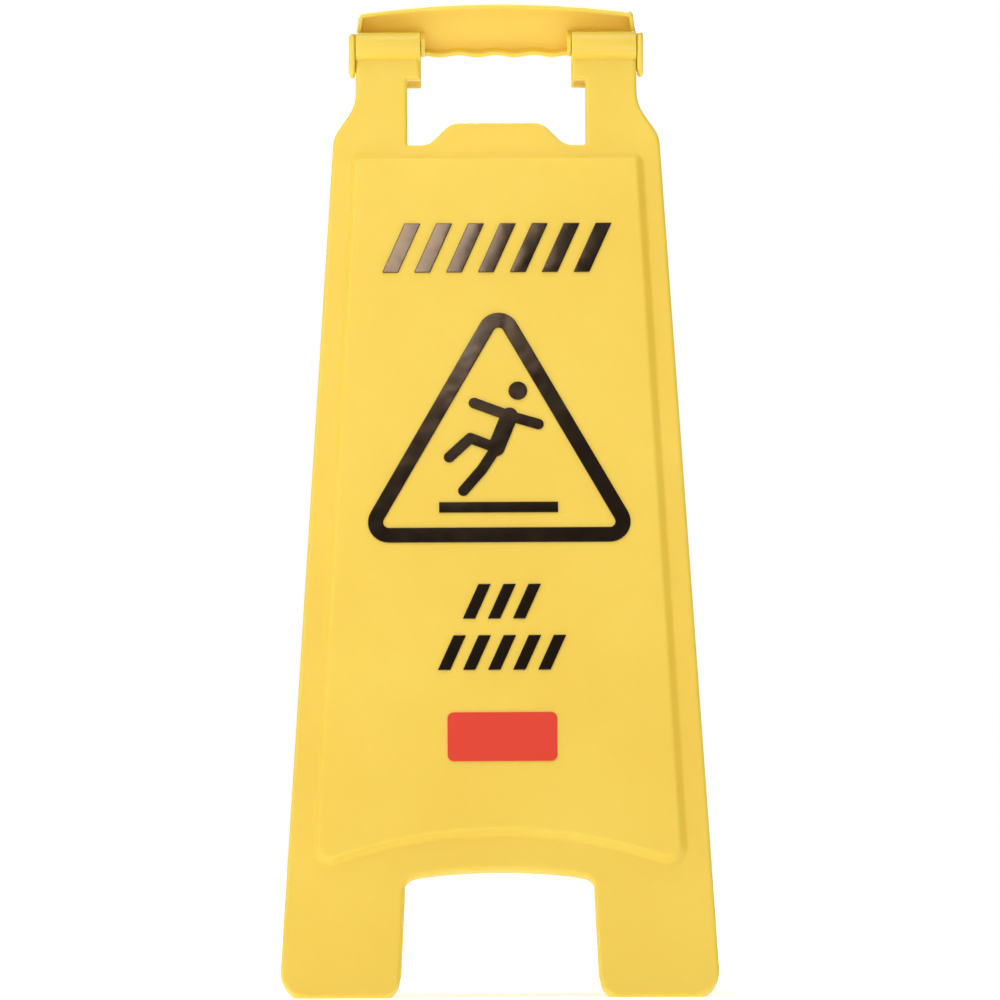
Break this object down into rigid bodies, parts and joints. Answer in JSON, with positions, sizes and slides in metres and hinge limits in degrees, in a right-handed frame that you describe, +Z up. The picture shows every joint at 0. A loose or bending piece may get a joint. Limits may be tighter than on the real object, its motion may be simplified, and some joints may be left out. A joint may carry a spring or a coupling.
{
  "type": "wet floor sign",
  "caption": "Folding two-panel floor warning sign with a carrying handle, hinge barrels on pins, leg arches, and raised hazard bars and a slip-hazard triangle on both faces.",
  "frame": {"origin": "on the floor, at the middle of the open sign's footprint", "axes": "+Z up, +X along the hinge, front panel facing -Y"},
  "size_m": [0.2792, 0.3056, 0.6372],
  "materials": {
    "yellow_moulding": "satin moulded polypropylene",
    "pin_plastic": "plain turned nylon",
    "black_foil": "glossy hot-stamped foil",
    "red_badge": "glossy hot-stamped foil"
  },
  "bodies": {
    "front": {"front_panel": "yellow_moulding", "front_upper_bars": "black_foil", "front_triangle": "black_foil", "front_slip_figure": "black_foil", "front_floor_bar": "black_foil", "front_middle_bars": "black_foil", "front_lower_bars": "black_foil", "front_badge": "red_badge"},
    "rear": {"rear_panel": "yellow_moulding", "left_hinge_pin": "pin_plastic", "right_hinge_pin": "pin_plastic", "rear_upper_bars": "black_foil", "rear_triangle": "black_foil", "rear_slip_figure": "black_foil", "rear_floor_bar": "black_foil", "rear_middle_bars": "black_foil", "rear_lower_bars": "black_foil", "rear_badge": "red_badge"}
  },
  "joints": [
    {"name": "fold_hinge", "type": "hinge", "parent": "front", "child": "rear", "pos_m": [0, -0.0095, 0.6075], "axis": [-1, 0, 0], "range_deg": [0, 26]}
  ]
}
